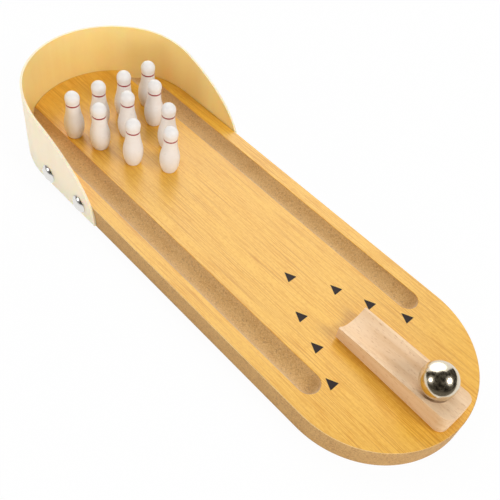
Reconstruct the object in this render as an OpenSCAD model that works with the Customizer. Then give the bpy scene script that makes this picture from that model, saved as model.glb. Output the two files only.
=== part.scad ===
// Tabletop bowling game: a laminated board with two gutters, a bent backstop,
// ten turned pins, a loose launching ramp and a steel ball.
// Millimetres. X runs across the lane, Y from the player to the pins, Z up.
// The origin is under the middle of the whole object, on the table.

/* [Board] */
// Width of the board, which is also the diameter of its round ends
board_w = 100; // [90:1:140]
// Length of the board over its round ends
board_l = 293; // [270:1:400]
// Thickness of the board with its laminate
board_t = 12; // [10:0.5:20]
// Thickness of the wood-print laminate on the lane
laminate_t = 0.4; // [0.2:0.1:1]

/* [Gutters] */
// Width of each gutter at the lane surface
gutter_w = 12; // [8:0.5:14]
// Depth of each round-bottom gutter
gutter_d = 5; // [3:0.25:6]
// Distance of each gutter's centre line from the middle of the lane
gutter_x = 36; // [33:0.5:39]
// Distance of the gutters' closed front ends from the front of the board
gutter_inset = 52.8; // [45:0.2:70]

/* [Backstop] */
// Height of the backstop above the table
wall_h = 42.5; // [34:0.5:60]
// Height of the sheet's lower edge above the table
wall_foot = 1; // [0:0.25:1.5]
// Thickness of the bent sheet
sheet_t = 1.2; // [0.8:0.1:2]
// Length of each straight arm ahead of the round back end
wall_arm_l = 46; // [42:1:70]
// Length along the sheet of the quarter ellipse that ends each arm
wall_sweep_l = 81.5; // [60:0.5:100]

/* [Wall tacks] */
// Diameter of a tack's domed head
tack_head_d = 10; // [6:0.5:11]
// Height of a tack's domed head
tack_head_h = 2.5; // [1.5:0.1:4]
// Diameter of a tack's shank
tack_shank_d = 2.4; // [1.5:0.1:3.5]
// Length of a tack's shank under the head
tack_shank_l = 10; // [7:0.5:11]
// Distance of the rear tack from the start of the round back end
tack_rear = 5.6; // [5:0.2:12]
// Distance between the two tacks on one side
tack_pitch = 27.5; // [15:0.5:29]
// Height of the tacks above the table
tack_z = 7; // [5:0.1:7]

/* [Pins] */
// Height of a pin
pin_h = 29.5; // [28.5:0.5:34]
// Radius of a pin's foot
pin_foot_r = 3.7; // [3:0.1:4.4]
// Radius of a pin's belly
pin_belly_r = 5.5; // [4.8:0.1:6]
// Height of the belly's widest place
pin_belly_h = 8.2; // [7:0.1:10]
// Radius of the neck, where the ring is painted
pin_neck_r = 3.7; // [3:0.05:3.8]
// Height of the neck
pin_neck_h = 21.8; // [20.5:0.1:22]
// Radius of the round head
pin_head_r = 4; // [3.9:0.05:4.4]
// Chamfer round the foot
pin_foot_chamfer = 0.4; // [0.1:0.1:0.8]
// Distance of the front pin ahead of the start of the round back end
rack_front = 44.6; // [40:0.2:60]
// Distances of the four rows of pins behind the front pin
row_y = [0, 15.7, 35.4, 50.9]; // [0:0.1:60]
// Place of each row's middle across the lane, as the pins were set up
row_x = [-0.5, -1, -1.5, -0.6]; // [-5:0.1:5]
// Spacing of the pins within each row
row_pitch = [0, 23.2, 18.1, 16.5]; // [0:0.1:26]
// Turn of the rows across the lane
row_turn = -2; // [-6:0.5:6]

/* [Ramp] */
// Width of the ramp
ramp_w = 19; // [18.5:0.5:24]
// Length of the ramp
ramp_l = 63; // [56:1:80]
// Height of the ramp at its front end
ramp_front_h = 8.4; // [7:0.1:10]
// Height of the ramp at its rear end
ramp_rear_h = 12.8; // [11:0.1:18]
// Radius of the ramp's rear upright corners
ramp_corner_r = 4.5; // [2:0.25:6]
// Radius of the groove
groove_r = 11.1; // [10.5:0.1:12]
// Height of the groove's floor at the ramp's front end
groove_front_h = 4.7; // [4:0.1:6]
// Height of the groove's floor at the ball's seat
groove_seat_h = 8.9; // [8:0.1:10]
// Distance of the ball's seat from the ramp's rear end
seat_inset = 14.4; // [13:0.2:20]
// Depth of the seat below the groove's floor
seat_d = 0.25; // [0.1:0.05:0.3]
// Distance of the ramp's rear end from the front of the board
ramp_inset = 3.4; // [1:0.2:8]
// Place of the ramp across the lane
ramp_x = -0.7; // [-6:0.1:6]
// Turn of the loose ramp on the lane, as it was set down
ramp_turn = -1.6; // [-6:0.2:6]

/* [Ball] */
// Diameter of the ball
ball_d = 17.5; // [15:0.25:20]

/* [Clearances] */
// Gap between the bent sheet and the board's edge
sheet_gap = 0.1; // [0.05:0.05:0.5]
// Gap round a tack's shank
shank_gap = 0.1; // [0.05:0.05:0.3]
// Gap between the ball and its seat
ball_gap = 0.4; // [0.35:0.05:0.6]

/* [Hidden] */
$fn = 96;
// Points on each curved stretch of an outline
arc_steps = 12;
sweep_steps = 36;
// Overlap of cutting tools past the faces that they cut
past = 1;

// Board and laminate
end_r = board_w / 2;
board_y = -(sheet_t + sheet_gap) / 2;
front_c = board_y - board_l / 2 + end_r;
back_c = board_y + board_l / 2 - end_r;
core_t = board_t - laminate_t;

// A gutter is the track of a ball-nosed cutter
gutter_r = (pow(gutter_w / 2, 2) + pow(gutter_d, 2)) / (2 * gutter_d);
gutter_z = board_t - gutter_d + gutter_r;
gutter_front = front_c - end_r + gutter_inset + gutter_w / 2;

// Bent sheet
sheet_in_r = end_r + sheet_gap;
sheet_out_r = sheet_in_r + sheet_t;
sheet_mid_r = sheet_in_r + sheet_t / 2;
wall_tip = back_c - wall_arm_l;
wall_back = back_c + sheet_out_r;

// Tacks
tack_dome_r = (pow(tack_head_d / 2, 2) + pow(tack_head_h, 2)) / (2 * tack_head_h);
tack_y = [back_c - tack_rear - tack_pitch, back_c - tack_rear];

// Pin outline: arcs that run smoothly into each other
belly_arc_r = (pow(pin_belly_r - pin_foot_r, 2) + pow(pin_belly_h, 2)) / (2 * (pin_belly_r - pin_foot_r));
belly_c = [pin_belly_r - belly_arc_r, pin_belly_h];
waist_dx = pin_neck_r - belly_c[0];
waist_dz = pin_neck_h - pin_belly_h;
waist_r = (pow(waist_dz, 2) + pow(waist_dx, 2) - pow(belly_arc_r, 2)) / (2 * (belly_arc_r - waist_dx));
waist_c = [pin_neck_r + waist_r, pin_neck_h];
head_c = [0, pin_h - pin_head_r];
throat_dz = head_c[1] - pin_neck_h;
throat_r = (pow(throat_dz, 2) / (pin_head_r - pin_neck_r) - pin_head_r - pin_neck_r) / 2;
throat_c = [pin_neck_r + throat_r, pin_neck_h];
foot_angle = -asin(pin_belly_h / belly_arc_r);
belly_angle = atan2(waist_dz, waist_dx + waist_r);
throat_angle = atan2(throat_dz, throat_c[0]);

// Ramp and ball, in the ramp's own place: middle of its underside, front end at +Y
ramp_y = board_y - board_l / 2 + ramp_inset + ramp_l / 2;
ball_r = ball_d / 2;
seat_y = -ramp_l / 2 + seat_inset;
groove_slope = atan2(groove_seat_h - groove_front_h, ramp_l - seat_inset);
// Height of the ball's centre, square to the groove's floor
ball_up = ball_r + ball_gap - seat_d;

pin_rows = len(row_y);
// Row of each pin, counted from the front
pin_row = [for (row = [0 : pin_rows - 1]) for (i = [0 : row]) row];
// Number of each pin within its row, from the left
pin_place = [for (row = [0 : pin_rows - 1]) for (i = [0 : row]) i];
pin_count = len(pin_row);

TACKS = ["left_front", "left_rear", "right_front", "right_rear"];

// Points along an arc about a centre
function arc(centre, r, from, to) =
    [for (i = [0 : arc_steps]) let (a = from + (to - from) * i / arc_steps) centre + r * [cos(a), sin(a)]];

// Outline of a bar with two round ends, grown by a margin
module stadium(margin = 0) {
    r = end_r + margin;
    for (y = [front_c, back_c])
        translate([0, y])
            circle(r);
    translate([-r, front_c])
        square([2 * r, back_c - front_c]);
}

// The two tracks of the gutter cutter, open through the board's back edge
module gutter_tracks() {
    for (side = [-1, 1])
        translate([side * gutter_x, gutter_front, gutter_z]) {
            sphere(gutter_r);
            rotate([-90, 0, 0])
                cylinder(r = gutter_r, h = back_c + end_r - gutter_front);
        }
}

// Places one tack's own axis, head outwards: index into TACKS
module at_tack(i) {
    side = i < 2 ? -1 : 1;
    translate([side * sheet_out_r, tack_y[i % 2], tack_z])
        rotate([0, side * 90, 0])
            children();
}

// Straight hole for every tack's shank
module tack_holes() {
    for (i = [0 : len(TACKS) - 1])
        at_tack(i)
            translate([0, 0, -tack_shank_l - shank_gap])
                cylinder(d = tack_shank_d + 2 * shank_gap, h = tack_shank_l + shank_gap + past);
}

module base_board() {
    color("burlywood")
        difference() {
            linear_extrude(core_t)
                stadium();
            gutter_tracks();
            tack_holes();
        }
}

module lane_laminate() {
    color("sandybrown")
        difference() {
            translate([0, 0, core_t])
                linear_extrude(laminate_t)
                    stadium();
            gutter_tracks();
        }
}

// Place along Y of a point on the sheet, by its distance along the sheet from the tip of an arm
function sheet_y(u) =
    u < wall_arm_l ? wall_tip + u : back_c + sheet_mid_r * sin((u - wall_arm_l) / sheet_mid_r * 180 / PI);

// Side view of the sheet: a quarter ellipse, laid out on the flat sheet, up to its full height
module wall_side_view() {
    polygon(concat(
        [for (i = [0 : sweep_steps]) let (a = 90 * i / sweep_steps)
            [sheet_y(wall_sweep_l * (1 - cos(a))), wall_foot + (wall_h - wall_foot) * sin(a)]],
        [[wall_back + past, wall_h], [wall_back + past, wall_foot]]
    ));
}

module backstop_wall() {
    color("wheat")
        difference() {
            intersection() {
                linear_extrude(wall_h)
                    difference() {
                        stadium(sheet_gap + sheet_t);
                        stadium(sheet_gap);
                    }
                rotate([90, 0, 90])
                    linear_extrude(2 * sheet_out_r + 2 * past, center = true)
                        wall_side_view();
            }
            tack_holes();
        }
}

// A domed head above Z = 0 and a pointed shank below it, which starts inside the head
module wall_tack(i) {
    color("silver")
        at_tack(i) {
            intersection() {
                translate([0, 0, tack_head_h - tack_dome_r])
                    sphere(tack_dome_r);
                cylinder(d = tack_head_d, h = tack_head_h);
            }
            rotate_extrude()
                polygon([
                    [0, tack_head_h / 2],
                    [tack_shank_d / 2, tack_head_h / 2],
                    [tack_shank_d / 2, tack_shank_d - tack_shank_l],
                    [0, -tack_shank_l]
                ]);
        }
}

// Half outline of a pin, from the foot up to the top of the head
module pin_outline() {
    polygon(concat(
        [[0, 0], [pin_foot_r - pin_foot_chamfer, 0]],
        [for (p = arc(belly_c, belly_arc_r, foot_angle, belly_angle)) if (p[1] >= pin_foot_chamfer) p],
        arc(waist_c, waist_r, 180 + belly_angle, 180),
        [for (p = arc(throat_c, throat_r, 180, 180 - throat_angle)) if (p[1] > pin_neck_h) p],
        [for (p = arc(head_c, pin_head_r, -throat_angle, 90)) if (p[0] > 0) p],
        [[0, pin_h]]
    ));
}

module pin(i) {
    row = pin_row[i];
    color("white")
        translate([row_x[row], back_c - rack_front + row_y[row], board_t])
            rotate(row_turn)
                translate([row_pitch[row] * (pin_place[i] - row / 2), 0])
                    rotate_extrude()
                        pin_outline();
}

// Places a piece in the ramp's own place on the lane
module on_ramp() {
    translate([ramp_x, ramp_y, board_t])
        rotate(ramp_turn)
            children();
}

// Places a piece over the seat, with Z square to the groove's floor and Y down the groove
module at_seat(up) {
    translate([0, seat_y, groove_seat_h])
        rotate([-groove_slope, 0, 0])
            translate([0, 0, up])
                children();
}

// Plan of the ramp: square at the front, rounded at the rear corners
module ramp_plan() {
    translate([-ramp_w / 2, -ramp_l / 2 + ramp_corner_r])
        square([ramp_w, ramp_l - ramp_corner_r]);
    translate([-ramp_w / 2 + ramp_corner_r, -ramp_l / 2])
        square([ramp_w - 2 * ramp_corner_r, ramp_l]);
    for (side = [-1, 1])
        translate([side * (ramp_w / 2 - ramp_corner_r), -ramp_l / 2 + ramp_corner_r])
            circle(ramp_corner_r);
}

module ramp_side_view() {
    polygon([
        [-ramp_l / 2, 0],
        [ramp_l / 2, 0],
        [ramp_l / 2, ramp_front_h],
        [-ramp_l / 2, ramp_rear_h]
    ]);
}

module launch_ramp() {
    color("bisque")
        on_ramp()
            difference() {
                intersection() {
                    linear_extrude(ramp_rear_h)
                        ramp_plan();
                    rotate([90, 0, 90])
                        linear_extrude(ramp_w + 2 * past, center = true)
                            ramp_side_view();
                }
                at_seat(groove_r) {
                    sphere(groove_r);
                    rotate([-90, 0, 0])
                        cylinder(r = groove_r, h = ramp_l);
                }
                at_seat(ball_up)
                    sphere(ball_r + ball_gap);
            }
}

module bowling_ball() {
    color("gainsboro")
        on_ramp()
            at_seat(ball_up)
                sphere(ball_r);
}

base_board();
lane_laminate();
backstop_wall();
for (i = [0 : len(TACKS) - 1])
    wall_tack(i);
for (i = [1 : pin_count])
    pin(i - 1);
launch_ramp();
bowling_ball();
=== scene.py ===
"""Looks of a small tabletop bowling game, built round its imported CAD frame.

Every piece is modelled in metres in the frame of the CAD part: X runs across the
lane, Y from the player to the pins and Z up from the table.
"""

import logging
import math
from dataclasses import dataclass
from enum import Enum
from typing import Any

import bmesh
import bpy
from mathutils import Matrix, Vector


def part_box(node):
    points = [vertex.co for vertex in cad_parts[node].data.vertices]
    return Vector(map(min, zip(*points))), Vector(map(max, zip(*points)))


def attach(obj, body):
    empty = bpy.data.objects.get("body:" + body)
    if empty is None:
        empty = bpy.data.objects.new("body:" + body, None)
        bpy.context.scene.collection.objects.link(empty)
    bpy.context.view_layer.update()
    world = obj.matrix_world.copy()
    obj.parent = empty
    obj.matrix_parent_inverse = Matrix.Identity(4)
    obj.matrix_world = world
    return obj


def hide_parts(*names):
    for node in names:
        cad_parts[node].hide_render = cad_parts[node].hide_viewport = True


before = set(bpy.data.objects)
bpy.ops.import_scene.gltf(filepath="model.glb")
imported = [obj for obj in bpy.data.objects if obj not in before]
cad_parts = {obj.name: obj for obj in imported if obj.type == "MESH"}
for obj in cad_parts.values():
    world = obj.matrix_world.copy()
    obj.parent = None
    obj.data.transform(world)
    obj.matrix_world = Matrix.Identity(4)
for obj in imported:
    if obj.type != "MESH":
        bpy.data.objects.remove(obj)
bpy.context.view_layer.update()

Tree = bpy.types.NodeTree
Output = bpy.types.NodeSocket
Piece = bpy.types.Object
Mesh = bmesh.types.BMesh
Pair = tuple[float, float]
Triple = tuple[float, float, float]

LOG = logging.getLogger("bowling_game")
MM = 0.001
Y_AXIS = Vector((0.0, 1.0, 0.0))
Z_AXIS = Vector((0.0, 0.0, 1.0))
ORIGIN = Vector((0.0, 0.0, 0.0))
# Points closer than this are one point, in a drawn shape and after a cut
WELD = 1e-7
CUT_WELD = 2e-6
# Faces round and along a ball-nosed cutter
CUTTER_FACES = (96, 64)
# A face is upright when its normal rises less than this
UPRIGHT = 0.1
# The ramp stands a little turned on the lane, in degrees
RAMP_TURN = -1.6
# The inputs of a node that maps one span of values to another
SPAN_INPUTS = ("Value", "From Min", "From Max", "To Min", "To Max")


class Body(Enum):
    """The CAD bodies that carry more than a pin."""

    BOARD = "board"
    RAMP = "ramp"
    BALL = "ball"


class Slot(Enum):
    """The record's material slots."""

    MDF = "mdf"
    LAMINATE = "lane_laminate"
    SHEET = "bent_sheet"
    PIN = "pin_paint"
    BEECH = "beech"
    BALL = "ball_steel"
    TACK = "tack_chrome"


class Side(Enum):
    """The two long sides of the board, by the sign of X."""

    LEFT = -1
    RIGHT = 1


class End(Enum):
    """The two places of the tacks on each side."""

    FRONT = "front"
    REAR = "rear"


class Rounded(Enum):
    """What a rounding is laid on, by the bevel operator's words."""

    CORNERS = "VERTICES"
    EDGES = "EDGES"


def linear(hex_colour: str) -> tuple[float, float, float, float]:
    """Turns an sRGB hex colour into linear light, by the sRGB curve.

    Args:
        hex_colour: A colour such as "#C09763".

    Returns:
        Red, green, blue and an alpha of 1.
    """
    shares = [int(hex_colour[i : i + 2], 16) / 255 for i in (1, 3, 5)]
    red, green, blue = (
        s / 12.92 if s <= 0.04045 else ((s + 0.055) / 1.055) ** 2.4 for s in shares
    )
    return red, green, blue, 1.0


def add_node(
    tree: Tree, kind: str, inputs: dict[str | int, Any] | None = None, **settings: Any
) -> bpy.types.Node:
    """Adds a shader node with its settings, values and links.

    Args:
        tree: The node tree that it goes into.
        kind: The node's type.
        inputs: A value, or an output to link, for each named or numbered input.
        **settings: The node's own settings.

    Returns:
        The new node.
    """
    node = tree.nodes.new(kind)
    for name, value in settings.items():
        setattr(node, name, value)
    for name, value in (inputs or {}).items():
        if isinstance(value, Output):
            tree.links.new(value, node.inputs[name])
        else:
            node.inputs[name].default_value = value
    return node


def bare_tree(owner: bpy.types.Material | bpy.types.World) -> Tree:
    """Clears the nodes of a material or a world.

    Args:
        owner: The material or the world.

    Returns:
        Its empty node tree.
    """
    owner.use_nodes = True
    owner.node_tree.nodes.clear()
    return owner.node_tree


def painted(
    tree: Tree, under: str | Output, colour: str, where: Output, span: Pair, share: float | Output
) -> Output:
    """Paints one colour over another where a pattern is strong.

    Args:
        tree: The node tree.
        under: The lower colour, as sRGB hex or as an output.
        colour: The upper colour, as sRGB hex.
        where: The pattern.
        span: The pattern's values at which the upper colour begins and is full.
        share: How much of the upper colour shows where it is full.

    Returns:
        The painted colour.
    """
    cover = add_node(
        tree, "ShaderNodeMapRange", dict(zip(SPAN_INPUTS, (where, *span, 0.0, share)))
    )
    lower = linear(under) if isinstance(under, str) else under
    # Inputs 6 and 7 and output 2 are the ones that hold colours
    mix = add_node(
        tree,
        "ShaderNodeMix",
        {0: cover.outputs[0], 6: lower, 7: linear(colour)},
        data_type="RGBA",
    )
    return mix.outputs[2]


@dataclass(frozen=True)
class Pattern:
    """Soft random spots of a real size, fixed to their piece.

    Args:
        size: The spots' size along X, Y and Z, in millimetres.
        detail: How many finer layers lie over the spots.
        span: The values at which the pattern's colour begins and is full.
        share: How much of that colour shows where it is full.
        turn: The turn of the pattern about Z, in degrees.
        crumble: How strong each finer layer is beside the one before it.
    """

    size: Triple
    detail: float
    span: Pair = (0.0, 1.0)
    share: float = 1.0
    turn: float = 0.0
    crumble: float = 0.55

    def spots(self, tree: Tree) -> Output:
        """Adds the spots.

        Args:
            tree: The node tree that they go into.

        Returns:
            A value from 0 to 1, mostly near 0.5.
        """
        place = add_node(tree, "ShaderNodeTexCoord")
        scaled = add_node(
            tree,
            "ShaderNodeMapping",
            {
                "Vector": place.outputs["Object"],
                "Scale": [s * MM for s in self.size],
                "Rotation": (0.0, 0.0, math.radians(self.turn)),
            },
            vector_type="TEXTURE",
        )
        cloud = add_node(
            tree,
            "ShaderNodeTexNoise",
            {
                "Vector": scaled.outputs[0],
                "Scale": 1.0,
                "Detail": self.detail,
                "Roughness": self.crumble,
            },
        )
        return cloud.outputs[0]

    def over(
        self, tree: Tree, under: str | Output, colour: str, spots: Output | None = None
    ) -> Output:
        """Paints a colour over another in this pattern.

        Args:
            tree: The node tree.
            under: The lower colour, as sRGB hex or as an output.
            colour: The pattern's colour, as sRGB hex.
            spots: The pattern's spots, where they are there already.

        Returns:
            The painted colour.
        """
        where = self.spots(tree) if spots is None else spots
        return painted(tree, under, colour, where, self.span, self.share)


@dataclass(frozen=True)
class Finish:
    """A finish: what the surface is made of and how it answers light.

    Args:
        name: The material's name.
        colour: Its main colour, as sRGB hex.
        roughness: Its middle roughness.
        spread: How far the roughness strays either way.
        strays: A pattern's values at which it has strayed that far.
        relief: How high the surface stands over its hollows, in millimetres.
    """

    name: str
    colour: str
    roughness: float
    spread: float = 0.08
    strays: Pair = (0.3, 0.7)
    relief: float = 0.0

    def material(self) -> bpy.types.Material:
        """Finds the finish's material, or makes it on its first use.

        Returns:
            The material.
        """
        made = bpy.data.materials.get(self.name)
        if made is None:
            made = bpy.data.materials.new(self.name)
            tree = bare_tree(made)
            shader = add_node(
                tree,
                "ShaderNodeBsdfPrincipled",
                {"Base Color": linear(self.colour), "Roughness": self.roughness},
            )
            self.dress(tree, shader)
            add_node(tree, "ShaderNodeOutputMaterial", {"Surface": shader.outputs[0]})
        return made

    def dress(self, tree: Tree, shader: bpy.types.Node) -> None:
        """Adds the surface's own patterns.

        Args:
            tree: The material's node tree.
            shader: Its surface shader.
        """
        raise NotImplementedError

    def work(
        self,
        tree: Tree,
        shader: bpy.types.Node,
        drawn: Output | None,
        shine: Output,
        height: Output | None = None,
    ) -> None:
        """Colours the surface, breaks its shine by a pattern and raises it by one.

        Args:
            tree: The material's node tree.
            shader: Its surface shader.
            drawn: The drawn colour, or none where the main colour is all there is.
            shine: The pattern that makes the surface shinier and duller.
            height: The pattern of the relief, if there is one.
        """
        if drawn is not None:
            tree.links.new(drawn, shader.inputs["Base Color"])
        ends = (self.roughness - self.spread, self.roughness + self.spread)
        dull = add_node(
            tree, "ShaderNodeMapRange", dict(zip(SPAN_INPUTS, (shine, *self.strays, *ends)))
        )
        tree.links.new(dull.outputs[0], shader.inputs["Roughness"])
        if height is not None:
            bump = add_node(
                tree,
                "ShaderNodeBump",
                {"Height": height, "Strength": 1.0, "Distance": self.relief * MM},
            )
            tree.links.new(bump.outputs[0], shader.inputs["Normal"])


@dataclass(frozen=True)
class PrintedLaminate(Finish):
    """Melamine laminate with a printed straight wood grain under a satin wear layer.

    The eye gets fine amber lines, a few longer brown veins and short pores along the
    lane on a honey tone, and a soft sheen. Nothing is finer than a third of a
    millimetre, because it wouldn't show. The lines are bolder in some patches, and
    the faint ones keep a share of their strength.
    """

    spread: float = 0.04
    relief: float = 0.01
    ior: float = 1.75
    streak: str = "#E4AC42"
    pore: str = "#DC9604"
    vein: str = "#CB8404"
    streaks: Pattern = Pattern((8.0, 170.0, 20.0), 2.0, (0.42, 0.68), 0.24)
    lines: Pattern = Pattern((0.38, 12.0, 5.0), 1.0, (0.46, 0.66), 0.8)
    patches: Pattern = Pattern((5.0, 14.0, 20.0), 1.0, (0.36, 0.62))
    faint: float = 0.3
    veins: Pattern = Pattern((0.4, 55.0, 6.0), 1.0, (0.54, 0.66), 0.7)
    pores: Pattern = Pattern((0.38, 2.4, 3.0), 1.0, (0.48, 0.68), 0.5)

    def dress(self, tree: Tree, shader: bpy.types.Node) -> None:
        """Draws the tone, the lines, the long veins and the short pores, and ripples the top.

        Args:
            tree: The material's node tree.
            shader: Its surface shader.
        """
        shader.inputs["IOR"].default_value = self.ior
        lines = self.lines.spots(tree)
        ends = (self.faint * self.lines.share, self.lines.share)
        patches = (self.patches.spots(tree), *self.patches.span, *ends)
        bold = add_node(tree, "ShaderNodeMapRange", dict(zip(SPAN_INPUTS, patches)))
        toned = self.streaks.over(tree, self.colour, self.streak)
        lined = painted(tree, toned, self.pore, lines, self.lines.span, bold.outputs[0])
        veined = self.veins.over(tree, lined, self.vein)
        printed = self.pores.over(tree, veined, self.pore)
        self.work(tree, shader, printed, lines, lines)


@dataclass(frozen=True)
class PaperCoreHighlight(Finish):
    """Cut edge of the laminate, where its pale layers of paper show.

    The eye gets a thin light line round the lane: partly the paper's own pale colour, partly a
    painted highlight along the outer rim.
    """

    spread: float = 0.075
    layer: str = "#E8C68A"
    frays: Pattern = Pattern((1.5, 1.5, 0.15), 2.0, (0.4, 0.7), 0.6)

    def dress(self, tree: Tree, shader: bpy.types.Node) -> None:
        """Frays the cut a little.

        Args:
            tree: The material's node tree.
            shader: Its surface shader.
        """
        frays = self.frays.spots(tree)
        cut = self.frays.over(tree, self.colour, self.layer, frays)
        self.work(tree, shader, cut, frays)


@dataclass(frozen=True)
class RawMdf(Finish):
    """Bare MDF, paler where it is routed and browner where the saw has gone.

    The eye gets a brown felt of pressed fibres with short darker flecks and no shine.
    Where the cutter has raised a nap, the fibres catch light that grazes them. They
    are drawn about twice as wide as they are, so that they show.
    """

    relief: float = 0.05
    fleck: str = "#86613A"
    pale: str = "#CFA66A"
    nap: float = 0.0
    nap_roughness: float = 0.5
    clouds: Pattern = Pattern((6.0, 9.0, 4.0), 3.0, (0.35, 0.68), 0.45)
    fibres: Pattern = Pattern((0.6, 0.7, 0.5), 1.0, (0.40, 0.66))
    flecks: Pattern = Pattern((0.9, 1.2, 0.75), 1.0, (0.56, 0.74), 0.52)

    def dress(self, tree: Tree, shader: bpy.types.Node) -> None:
        """Mottles the fibres and raises their nap.

        Args:
            tree: The material's node tree.
            shader: Its surface shader.
        """
        shader.inputs["Sheen Weight"].default_value = self.nap
        shader.inputs["Sheen Roughness"].default_value = self.nap_roughness
        fibres = self.fibres.spots(tree)
        clouded = self.clouds.over(tree, self.colour, self.pale)
        felt = self.fibres.over(tree, clouded, self.pale, fibres)
        flecked = self.flecks.over(tree, felt, self.fleck)
        self.work(tree, shader, flecked, fibres, fibres)


@dataclass(frozen=True)
class BentSheet(Finish):
    """Thin bent sheet with a satin facing.

    The eye gets one smooth colour with faint upright bands from the bending and a
    very fine upright grain. The sheet is thin enough to glow a little when light
    stands behind it, and red light goes furthest through it.
    """

    spread: float = 0.065
    relief: float = 0.004
    glow: float = 0.6
    glow_depth: float = 1.5 * MM
    glow_reach: Triple = (1.0, 0.6, 0.3)
    band: str = "#F6E4C6"
    bands: Pattern = Pattern((9.0, 9.0, 400.0), 2.0, (0.40, 0.70), 0.45)
    grain: Pattern = Pattern((0.8, 0.8, 14.0), 2.0, (0.50, 0.75), 0.15)

    def dress(self, tree: Tree, shader: bpy.types.Node) -> None:
        """Lays the faint bands and the fine grain on, and lets light through.

        Args:
            tree: The material's node tree.
            shader: Its surface shader.
        """
        shader.inputs["Subsurface Weight"].default_value = self.glow
        shader.inputs["Subsurface Radius"].default_value = self.glow_reach
        shader.inputs["Subsurface Scale"].default_value = self.glow_depth
        grain = self.grain.spots(tree)
        banded = self.bands.over(tree, self.colour, self.band)
        drawn = self.grain.over(tree, banded, self.band, grain)
        self.work(tree, shader, drawn, grain, grain)


@dataclass(frozen=True)
class TurnedPaint(Finish):
    """Satin paint over turned wood.

    The eye gets a clean coat with a soft shine, a little uneven where the brush went
    round the lathe.
    """

    spread: float = 0.07
    relief: float = 0.012
    thin: str = "#EAE2DC"
    coat: Pattern = Pattern((4.0, 4.0, 2.2), 3.0, (0.40, 0.72), 0.5)
    ridges: Pattern = Pattern((9.0, 9.0, 0.6), 1.0)

    def dress(self, tree: Tree, shader: bpy.types.Node) -> None:
        """Makes the coat a little uneven and faintly ridged.

        Args:
            tree: The material's node tree.
            shader: Its surface shader.
        """
        coat = self.coat.spots(tree)
        brushed = self.coat.over(tree, self.colour, self.thin, coat)
        self.work(tree, shader, brushed, coat, self.ridges.spots(tree))


@dataclass(frozen=True)
class SandedBeech(Finish):
    """Beech, cut by saw, sanded and left bare.

    The eye gets a pale pinkish wood with the short brown dashes of beech along the grain and a
    soft dull surface. The sides, where the normal rises less, are browner: partly the wood's own
    tone where the saw cut it, partly painted shade for the smaller share of light that the
    upright sides get. The grain runs down the ramp.
    """

    relief: float = 0.02
    dash: str = "#D0A074"
    growth: str = "#E7BE90"
    # The upright sides' colour: partly the wood's tone where the saw cut it, partly painted shade
    sawn_and_shaded: str = "#B07E2A"
    sawn_and_shaded_rise: Pair = (0.65, 0.2)
    sawn_and_shaded_share: float = 0.28
    bands: Pattern = Pattern((3.2, 45.0, 4.5), 3.0, (0.38, 0.66), 0.8, RAMP_TURN)
    dashes: Pattern = Pattern((0.55, 2.6, 0.7), 1.0, (0.60, 0.74), 0.6, RAMP_TURN)
    grain: Pattern = Pattern((0.5, 9.0, 0.5), 2.0, turn=RAMP_TURN)

    def dress(self, tree: Tree, shader: bpy.types.Node) -> None:
        """Draws the growth bands and the dashes, browns the sides with their own tone and painted
        shade, and raises the grain.

        Args:
            tree: The material's node tree.
            shader: Its surface shader.
        """
        banded = self.bands.over(tree, self.colour, self.growth)
        dashed = self.dashes.over(tree, banded, self.dash)
        facing = add_node(tree, "ShaderNodeTexCoord").outputs["Normal"]
        rise = add_node(tree, "ShaderNodeSeparateXYZ", {0: facing}).outputs["Z"]
        # Browns the upright sides: partly their own tone, partly painted shade
        browned_and_shaded = painted(tree, dashed, self.sawn_and_shaded, rise, self.sawn_and_shaded_rise, self.sawn_and_shaded_share)
        grain = self.grain.spots(tree)
        self.work(tree, shader, browned_and_shaded, grain, grain)


@dataclass(frozen=True)
class BrightMetal(Finish):
    """Polished or plated bright metal.

    The eye gets a mirror of the studio, with the faint haze of handling that breaks
    it a little.
    """

    spread: float = 0.02
    strays: Pair = (0.45, 0.75)
    smears: Pattern = Pattern((4.0, 4.0, 4.0), 4.0)

    def dress(self, tree: Tree, shader: bpy.types.Node) -> None:
        """Makes it a metal and clouds the polish.

        Args:
            tree: The material's node tree.
            shader: Its surface shader.
        """
        shader.inputs["Metallic"].default_value = 1.0
        self.work(tree, shader, None, self.smears.spots(tree))


@dataclass(frozen=True)
class PrintingInk(Finish):
    """Charcoal ink, screen printed on the laminate.

    The eye gets a flat dark mark with little shine, worn where the ink lies thin.
    """

    spread: float = 0.075
    shine: float = 0.25
    worn: str = "#352A28"
    thin: Pattern = Pattern((0.9, 1.6, 0.9), 2.0, (0.45, 0.75), 0.6)

    def dress(self, tree: Tree, shader: bpy.types.Node) -> None:
        """Thins the ink in places.

        Args:
            tree: The material's node tree.
            shader: Its surface shader.
        """
        shader.inputs["Specular IOR Level"].default_value = self.shine
        thin = self.thin.spots(tree)
        ink = self.thin.over(tree, self.colour, self.worn, thin)
        self.work(tree, shader, ink, thin)


LANE_PRINT = PrintedLaminate("lane_laminate_satin", "#F6C047", 0.33)
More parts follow.
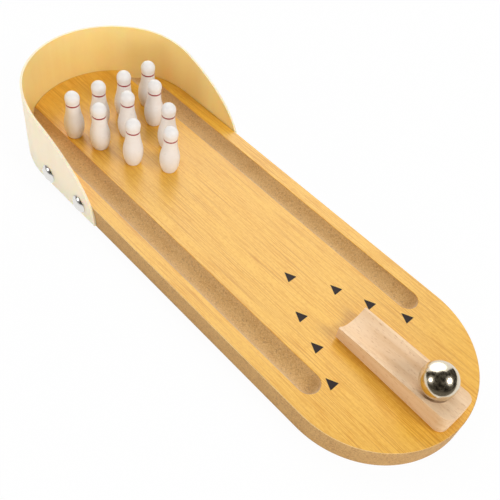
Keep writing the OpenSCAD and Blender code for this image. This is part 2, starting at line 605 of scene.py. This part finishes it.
# Pale cut edge of the laminate: partly its paper, partly a painted highlight
LANE_CORE_HIGHLIGHT = PaperCoreHighlight("lane_laminate_cut_edge_highlight", "#F7E0AE", 0.675)
GROOVE_MDF = RawMdf(
    "mdf_routed_fibre", "#C5944D", 0.8, fleck="#946B40", pale="#DEB678", nap=0.75
)
EDGE_MDF = RawMdf("mdf_sawn_fibre", "#B58850", 0.8)
SHEET_CREAM = BentSheet("bent_sheet_cream_face", "#FAEACE", 0.485)
SHEET_HONEY = BentSheet("bent_sheet_honey_face", "#FFE59C", 0.485, band="#FBDB8F")
PIN_WHITE = TurnedPaint("turned_paint_white", "#F0ECE8", 0.33)
PIN_RED = TurnedPaint("turned_paint_red", "#9A1428", 0.33, thin="#841224")
RAMP_BEECH = SandedBeech("sanded_beech", "#FBDAB3", 0.58)
BALL_STEEL = BrightMetal("polished_steel", "#DDD2BC", 0.18)
TACK_PLATE = BrightMetal("nickel_plate", "#E6E4E0", 0.22)
MARK_INK = PrintingInk("printing_ink_charcoal", "#2A1F1E", 0.525)


class Outline:
    """A chain of edges that grows from its newest point, as a drawn line does."""

    def __init__(self, bm: Mesh, start: Vector, axis: Vector) -> None:
        """Sets down the first point.

        Args:
            bm: The mesh that the chain goes into.
            start: The first point.
            axis: The direction that every arc turns about.
        """
        self.bm = bm
        self.axis = axis
        self.first = bm.verts.new(start)
        self.tip = self.first

    def line(self, to: Vector) -> None:
        """Draws a straight edge to a point."""
        self.tip = bmesh.ops.extrude_vert_indiv(self.bm, verts=[self.tip])["verts"][0]
        self.tip.co = to

    def arc(self, centre: Vector, degrees: float, steps: int) -> None:
        """Draws an arc from the newest point.

        Args:
            centre: The arc's centre.
            degrees: Its angle, counter-clockwise about the axis.
            steps: Its number of edges.
        """
        made = bmesh.ops.spin(
            self.bm,
            geom=[self.tip],
            cent=centre,
            axis=self.axis,
            angle=math.radians(degrees),
            steps=steps,
            use_merge=False,
            use_duplicate=False,
        )
        self.tip = next(g for g in made["geom_last"] if isinstance(g, bmesh.types.BMVert))

    def fill(self) -> bmesh.types.BMFace:
        """Closes the chain and returns the face that fills it."""
        bmesh.ops.contextual_create(self.bm, geom=[self.tip, self.first])
        return bmesh.ops.contextual_create(self.bm, geom=self.bm.edges[:])["faces"][0]


def revolve(bm: Mesh, steps: int) -> None:
    """Turns everything drawn so far once round Z and closes the seam and the poles.

    Args:
        bm: The mesh that holds the half outline.
        steps: The number of faces round the axis.
    """
    bmesh.ops.spin(
        bm,
        geom=bm.verts[:] + bm.edges[:],
        cent=ORIGIN,
        axis=Z_AXIS,
        angle=math.tau,
        steps=steps,
        use_merge=True,
        use_duplicate=False,
    )
    bmesh.ops.remove_doubles(bm, verts=bm.verts[:], dist=WELD)
    bmesh.ops.recalc_face_normals(bm, faces=bm.faces[:])


def raised(bm: Mesh, face: bmesh.types.BMFace, height: float) -> None:
    """Draws a flat face up into a closed block.

    Args:
        bm: The mesh.
        face: The face.
        height: The block's height.
    """
    made = bmesh.ops.extrude_face_region(bm, geom=[face], use_keep_orig=True)
    verts = [g for g in made["geom"] if isinstance(g, bmesh.types.BMVert)]
    bmesh.ops.translate(bm, verts=verts, vec=Z_AXIS * height)
    bmesh.ops.recalc_face_normals(bm, faces=bm.faces[:])


def rounded(
    bm: Mesh, geom: list[Any], radius: float, steps: int, what: Rounded = Rounded.EDGES
) -> None:
    """Rounds corners or edges of a mesh.

    Args:
        bm: The mesh.
        geom: The corners or the edges.
        radius: The rounding's size.
        steps: Its number of faces across, where 1 gives a chamfer.
        what: Whether corners or edges are rounded.
    """
    bmesh.ops.bevel(
        bm,
        geom=geom,
        offset=radius,
        offset_type="OFFSET",
        affect=what.value,
        segments=steps,
        profile=0.5,
        material=-1,
    )


def ball_nose_track(radius: float, length: float, place: Matrix) -> Piece:
    """Makes the space that a ball-nosed cutter sweeps along Y.

    Args:
        radius: The cutter's radius.
        length: How far it runs from its starting point.
        place: Where the starting point lies and how the run is turned.

    Returns:
        A closed solid to cut with.
    """
    bm = bmesh.new()
    around, along = CUTTER_FACES
    upright = Matrix.Rotation(math.pi / 2, 4, "X")
    bmesh.ops.create_uvsphere(
        bm, u_segments=around, v_segments=along, radius=radius, matrix=upright
    )
    bmesh.ops.bisect_plane(
        bm,
        geom=bm.verts[:] + bm.edges[:] + bm.faces[:],
        dist=WELD,
        plane_co=ORIGIN,
        plane_no=Y_AXIS,
        clear_outer=True,
    )
    rim = [e for e in bm.edges if e.is_boundary]
    made = bmesh.ops.extrude_edge_only(bm, edges=rim)["geom"]
    far = [g for g in made if isinstance(g, bmesh.types.BMVert)]
    bmesh.ops.translate(bm, verts=far, vec=Y_AXIS * length)
    far_rim = [g for g in made if isinstance(g, bmesh.types.BMEdge) and g.is_boundary]
    bmesh.ops.edgeloop_fill(bm, edges=far_rim)
    bmesh.ops.recalc_face_normals(bm, faces=bm.faces[:])
    bm.transform(place)
    return to_object("cutter", bm)


def to_object(name: str, bm: Mesh) -> Piece:
    """Puts a finished mesh into the scene and frees the working copy.

    Args:
        name: The new object's name.
        bm: The finished mesh.

    Returns:
        The object, at the origin.
    """
    mesh = bpy.data.meshes.new(name)
    bm.to_mesh(mesh)
    bm.free()
    piece = bpy.data.objects.new(name, mesh)
    bpy.context.scene.collection.objects.link(piece)
    return piece


def carve(piece: Piece, *cutters: Piece) -> None:
    """Cuts solids out of a piece for good, and throws the cutters away.

    Args:
        piece: The piece.
        *cutters: The solids.
    """
    for cutter in cutters:
        cut = piece.modifiers.new("carve", "BOOLEAN")
        cut.operation = "DIFFERENCE"
        cut.solver = "EXACT"
        cut.object = cutter
    graph = bpy.context.evaluated_depsgraph_get()
    cut_mesh = bpy.data.meshes.new_from_object(piece.evaluated_get(graph), depsgraph=graph)
    piece.modifiers.clear()
    piece.data = cut_mesh
    for cutter in cutters:
        bpy.data.objects.remove(cutter)
    bm = bmesh.new()
    bm.from_mesh(piece.data)
    bmesh.ops.remove_doubles(bm, verts=bm.verts[:], dist=CUT_WELD)
    bmesh.ops.dissolve_degenerate(bm, edges=bm.edges[:], dist=CUT_WELD)
    bm.to_mesh(piece.data)
    bm.free()


def soften(piece: Piece, width: float, segments: int = 2, above: float = 30.0) -> None:
    """Rounds the sharp edges of a piece.

    Args:
        piece: The piece.
        width: The rounding's width.
        segments: Its number of faces across.
        above: The least angle of an edge that is rounded, in degrees.
    """
    bevel = piece.modifiers.new("soften", "BEVEL")
    bevel.width = width
    bevel.segments = segments
    bevel.limit_method = "ANGLE"
    bevel.angle_limit = math.radians(above)
    bevel.harden_normals = True
    bevel.use_clamp_overlap = True


def hand_over(
    piece: Piece,
    body: str,
    finishes: list[Finish],
    node: str | None,
    crisp: float = 30.0,
) -> None:
    """Dresses a piece, sets it on its body and reports it.

    Args:
        piece: The piece.
        body: The CAD body that carries it.
        finishes: Its finishes, in the order of its material numbers.
        node: The CAD node that it stands for, if any.
        crisp: Edges over this many degrees stay crisp.
    """
    for finish in finishes:
        piece.data.materials.append(finish.material())
    piece.data.shade_smooth()
    piece.data.set_sharp_from_angle(angle=math.radians(crisp))
    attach(piece, body)
    if node is not None:
        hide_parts(node)
    LOG.info("%s rides on %s with %d faces", piece.name, body, len(piece.data.polygons))


@dataclass
class GameBoard:
    """The laminated board with its routed gutters and printed aiming marks."""

    end_radius: float = 50 * MM
    front_centre: float = -97.15 * MM
    back_centre: float = 95.85 * MM
    arc_steps: int = 96
    core: float = 11.6 * MM
    core_round: float = 0.35 * MM
    laminate: float = 0.4 * MM
    laminate_round: float = 0.15 * MM
    trim: float = 0.3 * MM
    rim: float = 1 * MM
    gutter_x: float = 36 * MM
    gutter_front: float = -88.35 * MM
    gutter_radius: float = 6.1 * MM
    gutter_axis: float = 13.1 * MM
    mark_width: float = 5.7 * MM
    mark_length: float = 5.8 * MM
    mark_corner: float = 0.35 * MM
    mark_corner_steps: int = 4
    mark_x: float = -0.7 * MM
    ink: float = 0.02 * MM
    mark_rows: tuple[Pair, ...] = (
        (0.0, -42.35 * MM),
        (12.6 * MM, -62.15 * MM),
        (19.3 * MM, -78.65 * MM),
        (27.8 * MM, -95.75 * MM),
    )

    def build(self) -> None:
        """Builds the core, its laminate and the marks."""
        board = Body.BOARD.value
        core = self.layer("board_core", 0.0, self.core, self.end_radius)
        for face in core.data.polygons:
            face.material_index = int(abs(face.normal.z) < UPRIGHT)
        soften(core, self.core_round)
        hand_over(core, board, [GROOVE_MDF, EDGE_MDF], "base_board")
        skin = self.layer("lane_skin", self.core, self.laminate, self.end_radius - self.trim)
        # The cut edge on the outer rim gets the pale paper finish, partly a painted highlight;
        # the gutters' cut edges keep the print
        for face in skin.data.polygons:
            cut = abs(face.normal.z) < UPRIGHT and self.is_rim(face.center)
            face.material_index = int(cut)
        soften(skin, self.laminate_round)
        hand_over(skin, board, [LANE_PRINT, LANE_CORE_HIGHLIGHT], "lane_laminate")
        places = [
            (side.value * x, y)
            for x, y in self.mark_rows
            for side in (Side if x else (Side.RIGHT,))
        ]
        for number, (x, y) in enumerate(places, 1):
            mark = self.mark(f"aiming_mark_{number}", x + self.mark_x, y)
            hand_over(mark, board, [MARK_INK], None)

    def is_rim(self, place: Vector) -> bool:
        """Finds whether a place on the laminate is on the outer rim, and not in a gutter.

        Args:
            place: The place.

        Returns:
            Whether it lies close to the board's outline.
        """
        past_end = max(0.0, place.y - self.back_centre, self.front_centre - place.y)
        return math.hypot(place.x, past_end) > self.end_radius - self.rim

    def layer(self, name: str, bottom: float, height: float, radius: float) -> Piece:
        """Makes one layer of the board with the gutters cut out of it.

        Args:
            name: The layer's name.
            bottom: The height of its underside.
            height: Its thickness.
            radius: The radius of its round ends.

        Returns:
            The layer.
        """
        bm = bmesh.new()
        outline = Outline(bm, Vector((-radius, self.front_centre, bottom)), Z_AXIS)
        outline.arc(Vector((0.0, self.front_centre, bottom)), 180.0, self.arc_steps)
        outline.line(Vector((radius, self.back_centre, bottom)))
        outline.arc(Vector((0.0, self.back_centre, bottom)), 180.0, self.arc_steps)
        raised(bm, outline.fill(), height)
        blank = to_object(name, bm)
        run = self.back_centre + self.end_radius - self.gutter_front
        start = Vector((self.gutter_x, self.gutter_front, self.gutter_axis))
        places = [Matrix.Translation((side.value * start.x, *start.yz)) for side in Side]
        carve(blank, *(ball_nose_track(self.gutter_radius, run, place) for place in places))
        return blank

    def mark(self, name: str, x: float, y: float) -> Piece:
        """Makes one printed triangle that points to the pins.

        Args:
            name: The mark's name.
            x: Its middle across the lane.
            y: Its middle along the lane.

        Returns:
            The mark, a thin film on the laminate.
        """
        bm = bmesh.new()
        bmesh.ops.create_circle(bm, cap_ends=True, segments=3, radius=1.0)
        # A triangle on a circle of radius 1 is 1.5 long and the root of 3 wide
        size = (self.mark_width / math.sqrt(3.0), self.mark_length / 1.5, 1.0)
        bmesh.ops.scale(bm, verts=bm.verts[:], vec=size)
        rounded(bm, bm.verts[:], self.mark_corner, self.mark_corner_steps, Rounded.CORNERS)
        raised(bm, bm.faces[:][0], self.ink)
        bmesh.ops.translate(bm, verts=bm.verts[:], vec=(x, y, self.core + self.laminate))
        return to_object(name, bm)


@dataclass
class Backstop:
    """The bent sheet round the back of the board and the tacks that hold it."""

    centre: float = 95.85 * MM
    bend_radius: float = 50.7 * MM
    sheet: float = 1.2 * MM
    sheet_round: float = 0.15 * MM
    sheet_round_above: float = 50.0
    height: float = 42.5 * MM
    foot: float = 1 * MM
    arm: float = 46 * MM
    sweep: float = 81.5 * MM
    sweep_steps: int = 48
    back_steps: int = 40
    rise_steps: int = 8
    head_radius: float = 5 * MM
    head_height: float = 2.5 * MM
    head_lip: float = 0.35 * MM
    lip_tuck: float = 0.105 * MM
    dome_steps: int = 20
    shank_radius: float = 1.2 * MM
    shank_length: float = 10 * MM
    shank_point: float = 2.4 * MM
    round_steps: int = 64
    tack_crisp: float = 60.0

    def build(self) -> None:
        """Builds the sheet and its four tacks."""
        board = Body.BOARD.value
        sheet = self.bent_sheet()
        hand_over(sheet, board, [SHEET_CREAM, SHEET_HONEY], "backstop_wall")
        for side in Side:
            for end in End:
                name = f"{side.name.lower()}_{end.value}"
                node = f"wall_tack_{name}"
                tack = self.tack(f"tack_{name}", node, side)
                hand_over(tack, board, [TACK_PLATE], node, self.tack_crisp)

    def bent_sheet(self) -> Piece:
        """Cuts the flat sheet to its outline, bends it and gives it its thickness.

        Returns:
            The sheet, with its inside on the second material.
        """
        total = 2 * self.arm + math.pi * self.bend_radius
        columns = 2 * self.sweep_steps + self.back_steps
        bm = bmesh.new()
        bmesh.ops.create_grid(bm, x_segments=columns, y_segments=self.rise_steps, size=1.0)
        for v in bm.verts:
            column = round((v.co.x + 1) / 2 * columns)
            along, share = self.on_flat_sheet(column, columns, total)
            rise = (v.co.y + 1) / 2 * share * (self.height - self.foot)
            v.co = self.bent(along, self.foot + rise, total)
        bmesh.ops.remove_doubles(bm, verts=bm.verts[:], dist=WELD)
        bmesh.ops.recalc_face_normals(bm, faces=bm.faces[:])
        back = next(f for f in bm.faces if f.calc_center_median().y > self.centre)
        outward = back.calc_center_median() - Vector((0.0, self.centre, 0.0))
        if back.normal.dot(outward) < 0:
            bmesh.ops.reverse_faces(bm, faces=bm.faces[:])
        piece = to_object("backstop_sheet", bm)
        thick = piece.modifiers.new("sheet", "SOLIDIFY")
        thick.thickness = self.sheet
        thick.offset = 0.0
        thick.use_even_offset = True
        thick.material_offset = 1
        thick.material_offset_rim = 0
        soften(piece, self.sheet_round, above=self.sheet_round_above)
        return piece

    def on_flat_sheet(self, column: int, columns: int, total: float) -> Pair:
        """Finds a column of the flat sheet, whose ends are quarter ellipses.

        Args:
            column: The column's number.
            columns: The number of the last column.
            total: The length of the flat sheet.

        Returns:
            The column's distance along the sheet, and its share of the full height.
        """
        near = min(column, columns - column)
        if near <= self.sweep_steps:
            angle = math.pi / 2 * near / self.sweep_steps
            along, share = self.sweep * (1 - math.cos(angle)), math.sin(angle)
        else:
            step = (total - 2 * self.sweep) / self.back_steps
            along, share = self.sweep + step * (near - self.sweep_steps), 1.0
        return (along if column == near else total - along), share

    def bent(self, along: float, up: float, total: float) -> Vector:
        """Bends a point of the flat sheet round the back of the board.

        Args:
            along: Its distance along the sheet from the left tip.
            up: Its height.
            total: The length of the flat sheet.

        Returns:
            Its place in the frame.
        """
        radius, tips = self.bend_radius, self.centre - self.arm
        if along < self.arm:
            return Vector((-radius, tips + along, up))
        if along > total - self.arm:
            return Vector((radius, tips + total - along, up))
        angle = (along - self.arm) / radius
        return Vector((-radius * math.cos(angle), self.centre + radius * math.sin(angle), up))

    def tack(self, name: str, node: str, side: Side) -> Piece:
        """Turns one domed tack and sets it in the edge of the board.

        Args:
            name: The tack's name.
            node: Its CAD node, which gives its place.
            side: The side of the board that it is on.

        Returns:
            The tack.
        """
        head, lip, shank = self.head_radius, self.head_lip, self.shank_radius
        rise = self.head_height - lip
        dome = (head * head + rise * rise) / (2 * rise)
        bm = bmesh.new()
        outline = Outline(bm, Vector((0.0, 0.0, -self.shank_length)), Y_AXIS)
        for across, up in (
            (shank, self.shank_point - self.shank_length),
            (shank, 0.0),
            (head - self.lip_tuck, 0.0),
            (head, lip / 2),
            (head, lip),
        ):
            outline.line(Vector((across, 0.0, up)))
        dome_centre = Vector((0.0, 0.0, self.head_height - dome))
        outline.arc(dome_centre, -math.degrees(math.asin(head / dome)), self.dome_steps)
        revolve(bm, self.round_steps)
        low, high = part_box(node)
        crown = high.x if side is Side.RIGHT else low.x
        seat = Vector((crown - side.value * self.head_height, *((low + high) / 2).yz))
        outward = Matrix.Rotation(side.value * math.pi / 2, 4, "Y")
        bm.transform(Matrix.Translation(seat) @ outward)
        return to_object(name, bm)


@dataclass
class PinRack:
    """The turned pins, each with its painted ring."""

    count: int = 10
    height: float = 29.5 * MM
    foot_radius: float = 3.7 * MM
    foot_chamfer: float = 0.4 * MM
    belly_radius: float = 5.5 * MM
    belly_height: float = 8.2 * MM
    neck_radius: float = 3.7 * MM
    neck_height: float = 21.8 * MM
    head_radius: float = 4 * MM
    ring_low: float = 21.8 * MM
    ring_high: float = 22.7 * MM
    belly_steps: int = 24
    waist_steps: int = 14
    throat_steps: tuple[int, int, int] = (1, 2, 6)
    head_steps: int = 24
    round_steps: int = 64
    turn_between: float = 37.0
    crisp: float = 50.0

    def build(self) -> None:
        """Builds every pin at its CAD node, each turned on its foot as loose pins are."""
        for number in range(1, self.count + 1):
            node = f"pin_{number}"
            turn = math.radians(self.turn_between * number)
            pin = self.pin(f"turned_pin_{number}", node, turn)
            hand_over(pin, node, [PIN_WHITE, PIN_RED], node, self.crisp)

    def pin(self, name: str, node: str, turn: float) -> Piece:
        """Turns one pin from arcs that run smoothly into each other.

        Args:
            name: The pin's name.
            node: Its CAD node, which gives its place.
            turn: How far it is turned on its foot.

        Returns:
            The pin, with its ring on the second material.
        """
        bulge = self.belly_radius - self.foot_radius
        belly = (bulge**2 + self.belly_height**2) / (2 * bulge)
        across = self.neck_radius - self.belly_radius + belly
        rise = self.neck_height - self.belly_height
        waist = (rise**2 + across**2 - belly**2) / (2 * (belly - across))
        top = self.height - self.head_radius
        swell = self.head_radius - self.neck_radius
        throat = ((top - self.neck_height) ** 2 / swell - self.head_radius - self.neck_radius) / 2
        belly_c = Vector((self.belly_radius - belly, 0.0, self.belly_height))
        waist_c = Vector((self.neck_radius + waist, 0.0, self.neck_height))
        throat_c = Vector((self.neck_radius + throat, 0.0, self.neck_height))
        foot_angle = math.asin((self.belly_height - self.foot_chamfer) / belly)
        belly_angle = math.atan2(rise, across + waist)
        throat_angle = math.atan2(top - self.neck_height, throat_c.x)
        rings = [
            math.asin((z - self.neck_height) / throat) for z in (self.ring_low, self.ring_high)
        ]

        bm = bmesh.new()
        edge = belly_c + belly * Vector((math.cos(foot_angle), 0.0, -math.sin(foot_angle)))
        outline = Outline(bm, ORIGIN, Y_AXIS)
        outline.line(Vector((self.foot_radius - self.foot_chamfer, 0.0, 0.0)))
        outline.line(edge)
        outline.arc(belly_c, -math.degrees(foot_angle + belly_angle), self.belly_steps)
        outline.arc(waist_c, math.degrees(belly_angle), self.waist_steps)
        turned = 0.0
        for angle, steps in zip((*rings, throat_angle), self.throat_steps):
            outline.arc(throat_c, math.degrees(angle - turned), steps)
            turned = angle
        crown = -math.degrees(math.pi / 2 + throat_angle)
        outline.arc(Vector((0.0, 0.0, top)), crown, self.head_steps)
        revolve(bm, self.round_steps)
        for face in bm.faces:
            in_ring = self.ring_low < face.calc_center_median().z < self.ring_high
            face.material_index = int(in_ring)
        low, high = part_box(node)
        foot = Vector((*((low + high) / 2).xy, low.z))
        bm.transform(Matrix.Translation(foot) @ Matrix.Rotation(turn, 4, "Z"))
        return to_object(name, bm)


@dataclass
class LaunchRamp:
    """The loose beech wedge with its groove and the seat for the ball."""

    middle: Triple = (-0.7 * MM, -112.25 * MM, 12 * MM)
    width: float = 19 * MM
    length: float = 63 * MM
    front_height: float = 8.4 * MM
    rear_height: float = 12.8 * MM
    corner: float = 4.5 * MM
    corner_steps: int = 14
    underside: float = 1.2 * MM
    edge_round: float = 0.6 * MM
    edge_round_steps: int = 4
    edge_round_above: float = 25.0
    groove_radius: float = 11.1 * MM
    groove_front: float = 4.7 * MM
    groove_seat: float = 8.9 * MM
    seat_inset: float = 14.4 * MM
    seat_up: float = 8.9 * MM
    seat_radius: float = 9.15 * MM

    def build(self) -> None:
        """Builds the ramp on the lane."""
        place = Matrix.Translation(self.middle)
        place @= Matrix.Rotation(math.radians(RAMP_TURN), 4, "Z")
        ramp = self.wedge(place)
        self.cut_groove(ramp, place)
        soften(ramp, self.edge_round, self.edge_round_steps, self.edge_round_above)
        hand_over(ramp, Body.RAMP.value, [RAMP_BEECH], "launch_ramp")

    def wedge(self, place: Matrix) -> Piece:
        """Saws the wedge, rounds its rear corners and chamfers its underside.

        Args:
            place: Where the ramp stands and how it is turned.

        Returns:
            The wedge.
        """
        half = self.length / 2
        slope = (self.rear_height - self.front_height) / self.length
        bm = bmesh.new()
        bmesh.ops.create_cube(bm, size=1.0)
        bmesh.ops.scale(bm, verts=bm.verts[:], vec=(self.width, self.length, 1.0))
        rear = [
            e
            for e in bm.edges
            if all(v.co.y < 0 for v in e.verts) and e.verts[0].co.z != e.verts[1].co.z
        ]
        rounded(bm, rear, self.corner, self.corner_steps)
        for v in bm.verts:
            v.co.z = self.front_height + (half - v.co.y) * slope if v.co.z > 0 else 0.0
        low = [e for e in bm.edges if all(v.co.z == 0.0 for v in e.verts)]
        rounded(bm, low, self.underside, 1)
        bmesh.ops.recalc_face_normals(bm, faces=bm.faces[:])
        bm.transform(place)
        return to_object("ramp_wedge", bm)

    def cut_groove(self, ramp: Piece, place: Matrix) -> None:
        """Cuts the falling groove and the seat for the ball.

        Args:
            ramp: The wedge.
            place: Where the ramp stands and how it is turned.
        """
        fall = math.atan2(self.groove_seat - self.groove_front, self.length - self.seat_inset)
        seat = place @ Matrix.Translation(
            (0.0, self.seat_inset - self.length / 2, self.groove_seat)
        )
        seat @= Matrix.Rotation(-fall, 4, "X")
        axis = seat @ Matrix.Translation(Z_AXIS * self.groove_radius)
        track = ball_nose_track(self.groove_radius, self.length, axis)
        around, along = CUTTER_FACES
        dimple = bmesh.new()
        bmesh.ops.create_uvsphere(
            dimple, u_segments=around, v_segments=along, radius=self.seat_radius
        )
        dimple.transform(seat @ Matrix.Translation(Z_AXIS * self.seat_up))
        carve(ramp, track, to_object("cutter", dimple))


@dataclass
class SteelBall:
    """The polished ball on its seat."""

    fineness: int = 6
    crisp: float = 60.0

    def build(self) -> None:
        """Builds the ball at its CAD node."""
        low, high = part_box("bowling_ball")
        bm = bmesh.new()
        bmesh.ops.create_icosphere(bm, subdivisions=self.fineness, radius=(high.x - low.x) / 2)
        bm.transform(Matrix.Translation((low + high) / 2))
        ball = to_object("polished_ball", bm)
        hand_over(ball, Body.BALL.value, [BALL_STEEL], "bowling_ball", self.crisp)


@dataclass(frozen=True)
class Lamp:
    """One soft round lamp that looks at the game.

    Args:
        name: The lamp's name.
        place: Where it hangs.
        size: Its diameter.
        power: Its power, in watts.
        mirrored: Whether bright surfaces show it.
    """

    name: str
    place: Triple
    size: float
    power: float
    mirrored: bool = True

    def hang(self) -> None:
        """Hangs the lamp in the studio."""
        data = bpy.data.lights.new(self.name, "AREA")
        data.shape = "DISK"
        data.size = self.size
        data.energy = self.power
        lamp = bpy.data.objects.new(self.name, data)
        lamp.location = self.place
        lamp.rotation_mode = "QUATERNION"
        lamp.rotation_quaternion = (-Vector(self.place)).to_track_quat("-Z", "Y")
        lamp.visible_camera = False
        lamp.visible_glossy = self.mirrored
        bpy.context.scene.collection.objects.link(lamp)


@dataclass
class Studio:
    """The white table, the soft light and the camera of the photograph's view.

    Mirrors see a dark room with one bright window, and a dark floor past the strip of
    table in front of the board. Nothing else does.
    """

    lens: float = 50.1
    sensor: float = 36.0
    nearest: float = 10 * MM
    eye: Triple = (-182.767 * MM, -155.061 * MM, 282.271 * MM)
    right: Triple = (0.71825690, -0.68432748, 0.12570972)
    down: Triple = (-0.47678652, -0.61567622, -0.62738936)
    forward: Triple = (0.50673626, 0.39069003, -0.76849181)
    table: float = 6.0
    table_drop: float = 0.05 * MM
    table_glow: float = 0.95
    paper: str = "#F7F7F7"
    white: str = "#FFFFFF"
    ambient: float = 0.38
    room: float = 3.0
    room_faces: tuple[int, int] = (72, 36)
    window: Pair = (-5.0, 100.0)
    window_top: float = 65.0
    front_strip: float = 75 * MM
    front_middle: Triple = (0.0, -97.15 * MM, 0.1 * MM)
    front_turn: float = 226.0
    cloth: str = "#1C1712"
    cloth_fold: str = "#6E6A62"
    folds: Pattern = Pattern((800.0, 800.0, 600.0), 2.0, (0.40, 0.66))
    lamps: tuple[Lamp, ...] = (
        Lamp("back_softbox", (1.15, 1.64, 1.50), 3.6, 41.0),
        Lamp("front_softbox", (0.40, -1.70, 1.55), 0.9, 20.0),
        Lamp("front_umbrella", (0.41, -1.74, 1.59), 1.9, 4.0),
        Lamp("left_softbox", (-1.88, 1.06, 0.79), 0.9, 6.0),
        Lamp("left_umbrella", (-1.92, 1.08, 0.81), 1.9, 2.0),
        Lamp("fill_softbox", (-1.60, -1.30, 0.30), 0.9, 12.5, mirrored=False),
    )

    def build(self) -> None:
        """Sets up the view, the table, the surroundings and the lamps."""
        bpy.context.scene.view_settings.view_transform = "Standard"
        self.camera()
        self.floor()
        self.surroundings()
        self.dark_room()
        for lamp in self.lamps:
            lamp.hang()

    def camera(self) -> None:
        """Stands the camera where the photograph was taken."""
        data = bpy.data.cameras.new("camera")
        data.lens = self.lens
        data.sensor_width = self.sensor
        data.clip_start = self.nearest
        camera = bpy.data.objects.new("camera", data)
        axes = (Vector(self.right), -Vector(self.down), -Vector(self.forward))
        turn = Matrix(axes).transposed().to_4x4()
        camera.matrix_world = Matrix.Translation(self.eye) @ turn
        bpy.context.scene.collection.objects.link(camera)
        bpy.context.scene.camera = camera

    def seen(self, tree: Tree) -> Output:
        """Finds whether the camera, a mirror or glass is looking.

        Args:
            tree: The node tree.

        Returns:
            1 for such a ray, and 0 for one that carries light.
        """
        path = add_node(tree, "ShaderNodeLightPath")
        looking = path.outputs["Is Camera Ray"]
        for kind in ("Is Glossy Ray", "Is Transmission Ray"):
            rays = {0: looking, 1: path.outputs[kind]}
            looking = add_node(tree, "ShaderNodeMath", rays, operation="MAXIMUM").outputs[0]
        return looking

    def floor(self) -> None:
        """Lays the white table, which still takes a soft shadow."""
        bm = bmesh.new()
        bmesh.ops.create_grid(bm, x_segments=2, y_segments=2, size=self.table)
        bmesh.ops.translate(bm, verts=bm.verts[:], vec=Z_AXIS * -self.table_drop)
        table = to_object("table", bm)
        material = bpy.data.materials.new("table_white_paper")
        tree = bare_tree(material)
        paper = add_node(tree, "ShaderNodeBsdfDiffuse", {"Color": linear(self.paper)})
        glow = add_node(
            tree, "ShaderNodeEmission", {"Color": linear(self.white), "Strength": 1.0}
        )
        share = add_node(
            tree, "ShaderNodeMath", {0: self.seen(tree), 1: self.table_glow}, operation="MULTIPLY"
        )
        layers = {0: share.outputs[0], 1: paper.outputs[0], 2: glow.outputs[0]}
        both = add_node(tree, "ShaderNodeMixShader", layers)
        add_node(tree, "ShaderNodeOutputMaterial", {"Surface": both.outputs[0]})
        table.data.materials.append(material)

    def surroundings(self) -> None:
        """Surrounds the table with white, and lights it softly from all sides."""
        world = bpy.data.worlds.new("studio")
        bpy.context.scene.world = world
        tree = bare_tree(world)
        fill, white = (
            add_node(
                tree, "ShaderNodeBackground", {"Color": linear(self.white), "Strength": strength}
            )
            for strength in (self.ambient, 1.0)
        )
        layers = {0: self.seen(tree), 1: fill.outputs[0], 2: white.outputs[0]}
        both = add_node(tree, "ShaderNodeMixShader", layers)
        add_node(tree, "ShaderNodeOutputWorld", {"Surface": both.outputs[0]})

    def dark_room(self) -> None:
        """Darkens the room, and the floor past the table's front edge, as mirrors see them."""
        around, up = self.room_faces
        walls = bmesh.new()
        bmesh.ops.create_uvsphere(walls, u_segments=around, v_segments=up, radius=self.room)
        gaps = [f for f in walls.faces if self.is_open(f.calc_center_median())]
        bmesh.ops.delete(walls, geom=gaps, context="FACES")
        beyond = Matrix.Translation(self.front_middle)
        beyond @= Matrix.Rotation(math.radians(self.front_turn), 4, "Z")
        beyond @= Matrix.Translation((self.front_strip + self.room, 0.0, 0.0))
        floor = bmesh.new()
        bmesh.ops.create_grid(floor, x_segments=1, y_segments=1, size=self.room, matrix=beyond)
        material = bpy.data.materials.new("dark_room_cloth")
        tree = bare_tree(material)
        tone = self.folds.over(tree, self.cloth, self.cloth_fold)
        cloth = add_node(tree, "ShaderNodeBsdfDiffuse", {"Color": tone})
        add_node(tree, "ShaderNodeOutputMaterial", {"Surface": cloth.outputs[0]})
        for name, bm in (("dark_walls", walls), ("dark_floor", floor)):
            card = to_object(name, bm)
            card.data.materials.append(material)
            for ray in ("camera", "diffuse", "shadow", "transmission"):
                setattr(card, f"visible_{ray}", False)

    def is_open(self, place: Vector) -> bool:
        """Finds whether the room has no dark wall at a place.

        Args:
            place: The place, from the middle of the room.

        Returns:
            Whether it is under the table or in the bright window.
        """
        across = math.degrees(math.atan2(place.y, place.x))
        up = math.degrees(math.asin(place.z / place.length))
        return up < 0 or (self.window[0] < across < self.window[1] and up < self.window_top)


def main() -> None:
    """Builds the game and the studio in order."""
    logging.basicConfig(level=logging.INFO, format="%(message)s")
    for assembly in (GameBoard(), Backstop(), PinRack(), LaunchRamp(), SteelBall(), Studio()):
        assembly.build()
        LOG.info("%s done", type(assembly).__name__)


if __name__ == "__main__":
    main()
